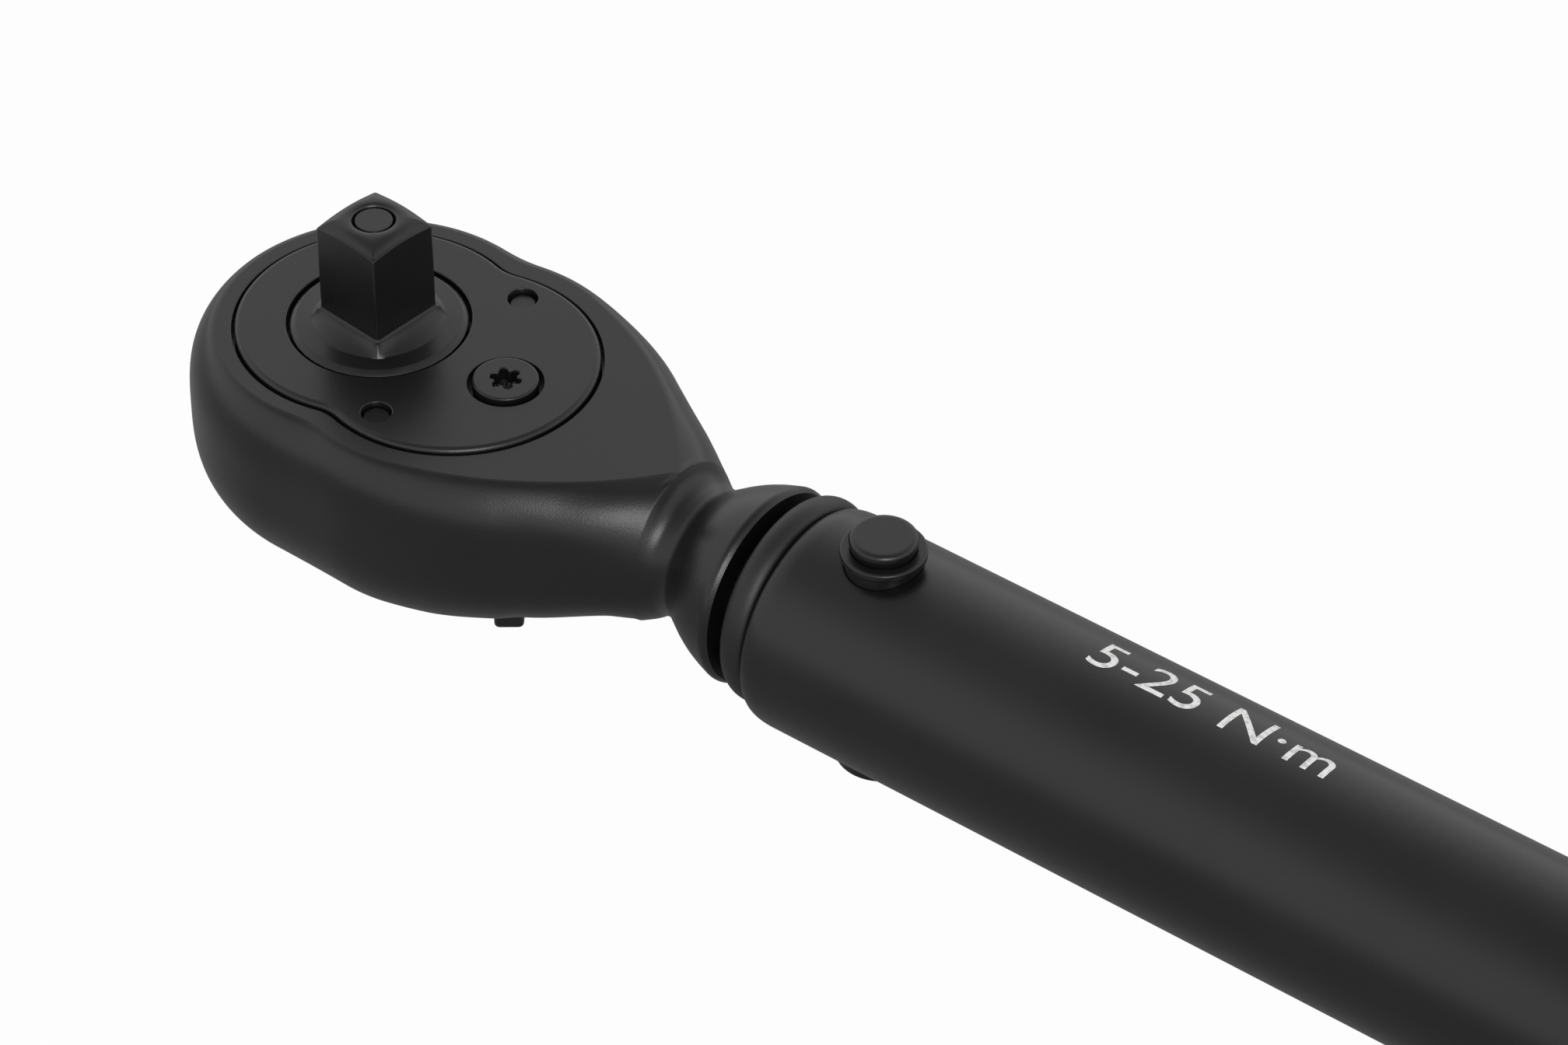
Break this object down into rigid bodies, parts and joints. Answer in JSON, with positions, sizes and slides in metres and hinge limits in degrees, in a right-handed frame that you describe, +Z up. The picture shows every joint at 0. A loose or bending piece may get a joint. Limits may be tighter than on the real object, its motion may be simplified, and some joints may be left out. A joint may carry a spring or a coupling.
{
  "type": "torque wrench",
  "caption": "Click torque wrench with a reversible ratchet head, square drive with quick release, pivoting arm in a tube, and a handle with window scale, end knob and lock.",
  "frame": {"origin": "under the middle of the wrench as it lies with its drive square up, on the surface it lies on", "axes": "+X runs from the ratchet head to the end knob, +Z is up, the way the drive square points, +Y completes the frame"},
  "size_m": [0.2822, 0.0306, 0.0314],
  "materials": {
    "blacked_casting": "satin black, fine even grain",
    "blacked_plate": "satin black, fine even grain, brighter on its edges",
    "blacked_steel": "black oxide on turned and milled steel, rubbed bright on edges",
    "blacked_tube": "satin black, very fine grain",
    "spring_steel": "bright drawn and turned steel",
    "bright_steel": "polished hardened steel",
    "brass": "turned brass",
    "black_rubber": "matt black rubber",
    "black_plastic": "fine spark-eroded grain",
    "soft_plastic": "soft matt elastomer",
    "grey_plastic": "fine grain",
    "scale_white": "smooth printed strip",
    "clear_plastic": "clear and polished"
  },
  "bodies": {
    "tube_body": {"tube": "blacked_tube", "seal_ring": "black_rubber", "pivot_pin": "blacked_steel", "pivot_bush_upper": "blacked_steel", "pivot_bush_lower": "blacked_steel", "rear_bush": "spring_steel", "thrust_washer": "brass", "grip": "black_plastic", "grip_sleeve": "soft_plastic", "grip_pin": "spring_steel", "scale_lens": "clear_plastic"},
    "head": {"ratchet_head": "blacked_casting", "cover_plate": "blacked_plate", "dowel_left": "blacked_steel", "dowel_right": "blacked_steel"},
    "drive": {"drive_gear": "blacked_steel", "retaining_ring": "spring_steel"},
    "release": {"release_rod": "blacked_steel", "release_button": "blacked_steel", "release_spring": "spring_steel"},
    "ball": {"retaining_ball": "bright_steel"},
    "lever": {"reversing_lever": "blacked_steel", "cover_screw": "blacked_steel", "pawl_spring": "spring_steel"},
    "pawl_body": {"pawl": "blacked_steel"},
    "plunger_body": {"plunger": "spring_steel", "click_roller": "bright_steel"},
    "knob": {"adjusting_screw": "spring_steel", "adjusting_knob": "black_plastic", "knob_screw": "spring_steel", "end_cap": "grey_plastic"},
    "nut": {"spring_nut": "brass", "scale_slide": "scale_white", "spring_washer": "spring_steel", "main_spring": "spring_steel"},
    "lock": {"lock_slider": "grey_plastic"}
  },
  "joints": [
    {"name": "head_pivot", "type": "hinge", "parent": "tube_body", "child": "head", "pos_m": [-0.07664, 0, 0.0136], "axis": [0, 0, 1], "range_deg": [-2.4, 0], "stiffness_Nm_per_rad": 2, "springref_deg": 2.86},
    {"name": "drive_spin", "type": "hinge", "parent": "head", "child": "drive", "pos_m": [-0.12594, 0, 0.0136], "axis": [0, 0, 1], "continuous": true},
    {"name": "release_press", "type": "slide", "parent": "drive", "child": "release", "axis": [0, 0, 1], "range_m": [0, 0.0016], "stiffness_N_per_m": 400, "springref_m": -0.002, "deforming": ["release_spring"]},
    {"name": "ball_slide", "type": "slide", "parent": "drive", "child": "ball", "axis": [0.0958, 0.9954, 0], "range_m": [-0.0006, 0]},
    {"name": "lever_turn", "type": "hinge", "parent": "head", "child": "lever", "pos_m": [-0.11314, 0, 0.0136], "axis": [0, 0, 1], "range_deg": [0, 104], "deforming": ["pawl_spring"]},
    {"name": "pawl_rock", "type": "hinge", "parent": "head", "child": "pawl_body", "pos_m": [-0.11314, 0, 0.0136], "axis": [0, 0, 1], "range_deg": [-13, 0]},
    {"name": "plunger_slide", "type": "slide", "parent": "tube_body", "child": "plunger_body", "axis": [1, 0, 0], "range_m": [0, 0.00125]},
    {"name": "knob_turn", "type": "hinge", "parent": "tube_body", "child": "knob", "pos_m": [0.11306, 0, 0.0136], "axis": [1, 0, 0], "range_deg": [-1800, 1800]},
    {"name": "nut_slide", "type": "slide", "parent": "tube_body", "child": "nut", "axis": [1, 0, 0], "range_m": [-0.01, 0.01], "deforming": ["main_spring"]},
    {"name": "lock_slide", "type": "slide", "parent": "tube_body", "child": "lock", "axis": [1, 0, 0], "range_m": [0, 0.0025]}
  ],
  "couplings": [
    {"joint": "ball_slide", "follows": "release_press", "ratio": -0.34375},
    {"joint": "pawl_rock", "follows": "lever_turn", "ratio": -0.125},
    {"joint": "plunger_slide", "follows": "head_pivot", "m_per_rad": -0.0275},
    {"joint": "knob_turn", "follows": "nut_slide", "rad_per_m": 3141.6}
  ]
}
